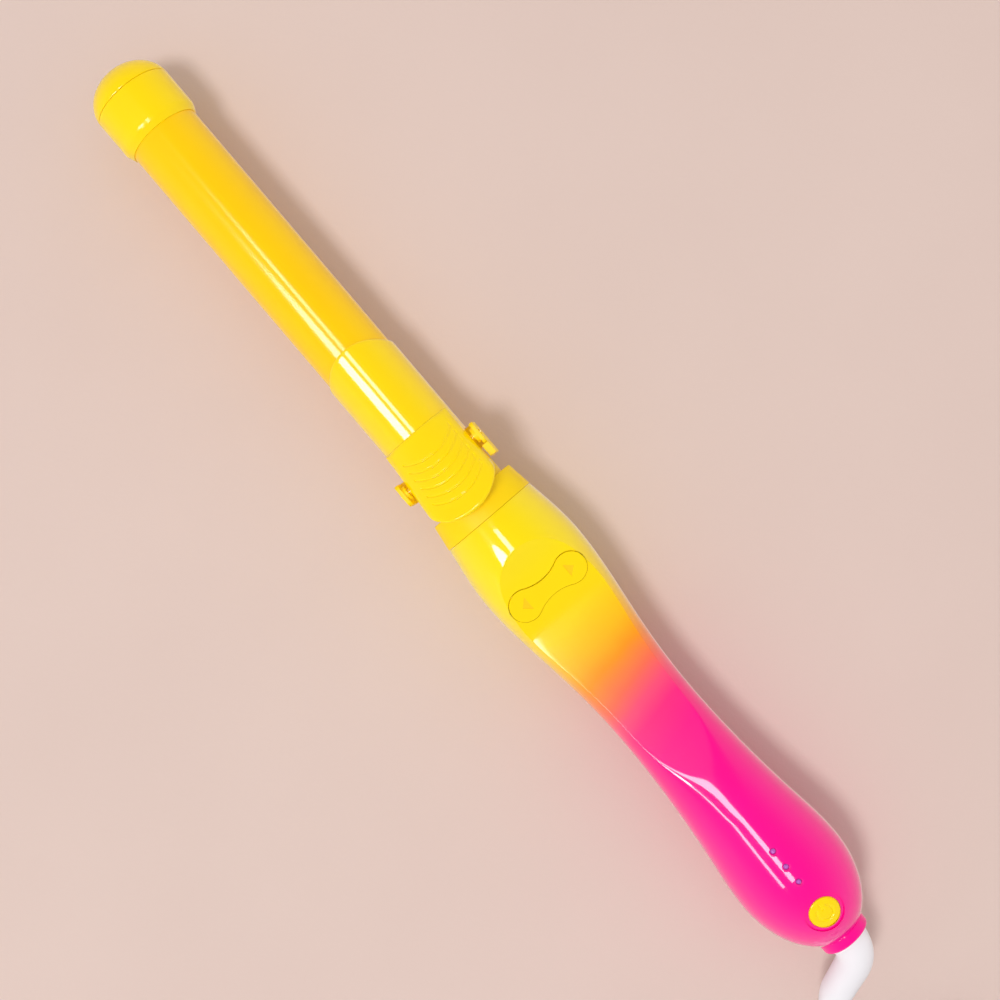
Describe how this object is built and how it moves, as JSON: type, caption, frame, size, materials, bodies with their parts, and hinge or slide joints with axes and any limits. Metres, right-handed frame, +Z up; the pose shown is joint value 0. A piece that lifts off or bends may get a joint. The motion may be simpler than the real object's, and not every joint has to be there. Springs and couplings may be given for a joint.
{
  "type": "rotating curling iron",
  "caption": "Handheld curling iron: a motor-turned round barrel with a sprung clamp, a waisted handle with a rocker and a power button, and a folded mains cord on a swivel.",
  "frame": {"origin": "on the table below the middle of the iron's length, cord left out", "axes": "+X along the barrel axis from the tip to the cord, +Z up, the side with the buttons"},
  "size_m": [0.5562, 0.0598, 0.0454],
  "materials": {
    "lemon_plastic": "glossy moulded heat-proof plastic, lemon yellow",
    "lemon_enamel": "glossy enamel on steel sheet, lemon yellow",
    "gold_coating": "satin ceramic coating on aluminium, warm yellow",
    "dark_metal": "heat-proof moulding, lemon yellow",
    "bracket_steel": "enamelled steel, lemon yellow",
    "ombre_plastic": "glossy lacquer fading from lemon yellow through coral to hot pink",
    "pink_plastic": "glossy moulded plastic, hot pink",
    "bright_steel": "bright steel",
    "motor_steel": "plated steel can",
    "heater_aluminium": "extruded aluminium",
    "heater_ceramic": "ceramic heater wrapped in insulating film",
    "insulator": "glass-filled nylon, black",
    "gear_nylon": "natural acetal",
    "copper": "copper band",
    "bush_bronze": "sintered bronze",
    "carbon": "carbon",
    "circuit_board": "green circuit board",
    "component_black": "black moulded component",
    "light_violet": "tinted light pipe and lamp",
    "white_vinyl": "soft white vinyl",
    "tie_vinyl": "white strap",
    "blade_brass": "brass blades"
  },
  "bodies": {
    "handle": {"neck_ring": "lemon_plastic", "handle_front_shell": "ombre_plastic", "handle_rear_shell": "ombre_plastic", "shell_screws": "bright_steel", "front_bush": "bush_bronze", "rear_bush": "bush_bronze", "gear_motor": "motor_steel", "motor_cradle": "insulator", "brush_holder": "insulator", "carbon_brushes": "carbon", "rocker_board": "circuit_board", "rocker_carrier": "insulator", "rotation_switches": "component_black", "power_board": "circuit_board", "board_components": "component_black", "board_screws": "bright_steel", "power_switch": "component_black", "status_leds": "light_violet", "light_pipes": "light_violet", "cord_collar": "pink_plastic"},
    "barrel": {"tip_dome": "lemon_plastic", "tip_collar": "lemon_plastic", "barrel_tube": "gold_coating", "barrel_base": "dark_metal", "hinge_bracket": "bracket_steel", "pivot_pins": "bright_steel", "heater_blocks": "heater_aluminium", "ptc_heater": "heater_ceramic", "thermistor": "heater_ceramic", "drive_shaft": "bright_steel", "slip_ring_drum": "insulator", "slip_rings": "copper", "drive_gear": "gear_nylon", "clamp_spring": "bright_steel"},
    "clamp": {"clamp_spoon": "lemon_enamel", "clamp_lever": "lemon_plastic", "spoon_rivets": "bright_steel"},
    "rocker": {"rotation_rocker": "lemon_plastic"},
    "button": {"power_button": "lemon_plastic"},
    "pinion": {"motor_pinion": "bright_steel"},
    "cord": {"strain_relief": "white_vinyl", "cord_lead": "white_vinyl", "cord_hank": "white_vinyl", "cord_tie": "tie_vinyl", "plug_body": "white_vinyl", "plug_blades": "blade_brass"}
  },
  "joints": [
    {"name": "barrel_spin", "type": "hinge", "parent": "handle", "child": "barrel", "pos_m": [0, 0, 0.0205], "axis": [1, 0, 0], "continuous": true},
    {"name": "pinion_spin", "type": "hinge", "parent": "handle", "child": "pinion", "pos_m": [0.0239, 0, 0.01001], "axis": [1, 0, 0], "continuous": true},
    {"name": "clamp_hinge", "type": "hinge", "parent": "barrel", "child": "clamp", "pos_m": [-0.0177, -0.0007, 0.03047], "axis": [0, 0.9976, 0.0698], "range_deg": [0, 12], "stiffness_Nm_per_rad": 0.4, "springref_deg": -14.32, "deforming": ["clamp_spring"]},
    {"name": "rocker_tilt", "type": "hinge", "parent": "handle", "child": "rocker", "pos_m": [0.0346, 0, 0.02991], "axis": [0.9609, 0, -0.277], "range_deg": [-3, 3], "stiffness_Nm_per_rad": 0.2},
    {"name": "power_press", "type": "slide", "parent": "handle", "child": "button", "axis": [0, 0, -1], "range_m": [0, 0.0008], "stiffness_N_per_m": 1500, "springref_m": -0.0004},
    {"name": "cord_swivel", "type": "hinge", "parent": "handle", "child": "cord", "pos_m": [0.19125, 0, 0.0205], "axis": [1, 0, 0], "continuous": true}
  ],
  "couplings": [
    {"joint": "pinion_spin", "follows": "barrel_spin", "ratio": -2}
  ]
}
